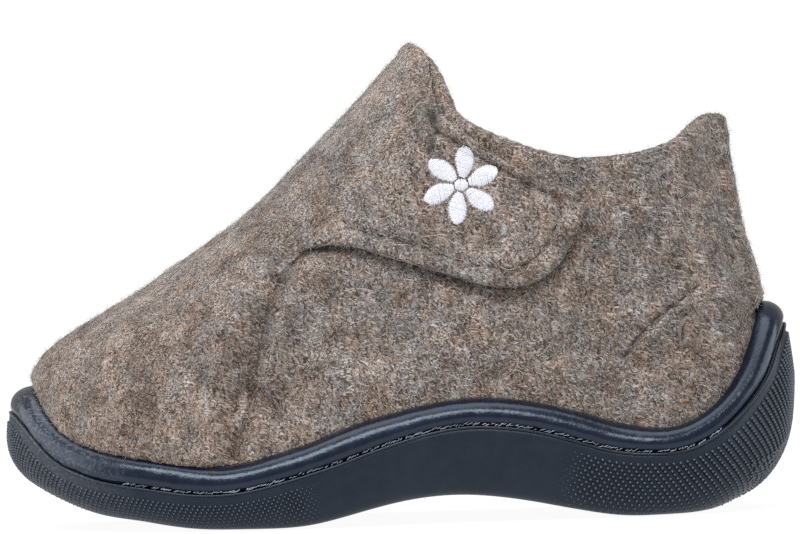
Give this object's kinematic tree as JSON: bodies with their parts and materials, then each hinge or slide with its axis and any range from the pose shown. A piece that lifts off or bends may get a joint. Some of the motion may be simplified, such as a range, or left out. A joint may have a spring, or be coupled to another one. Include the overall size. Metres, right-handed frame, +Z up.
{
  "type": "wool slipper",
  "caption": "Child's felt slipper for the left foot, with a strap over the outer side, a rolled welt and a moulded rubber cup sole.",
  "frame": {"origin": "centre of the slipper's box, at floor level", "axes": "-X points to the toe, -Y to the outer side with the strap, +Z up"},
  "size_m": [0.1596, 0.0654, 0.0964],
  "materials": {
    "sole_rubber": "satin, with fine moulded dots at toe and heel",
    "welt_rubber": "glossy moulded roll",
    "upper_felt": "heathered wool felt",
    "vamp_felt": "heathered wool felt",
    "strip_felt": "heathered wool felt",
    "insole_felt": "pressed wool felt"
  },
  "bodies": {
    "root": {"outsole": "sole_rubber", "welt": "welt_rubber", "upper": "upper_felt", "vamp_strap": "vamp_felt", "heel_strip": "strip_felt", "insole": "insole_felt"}
  },
  "joints": []
}
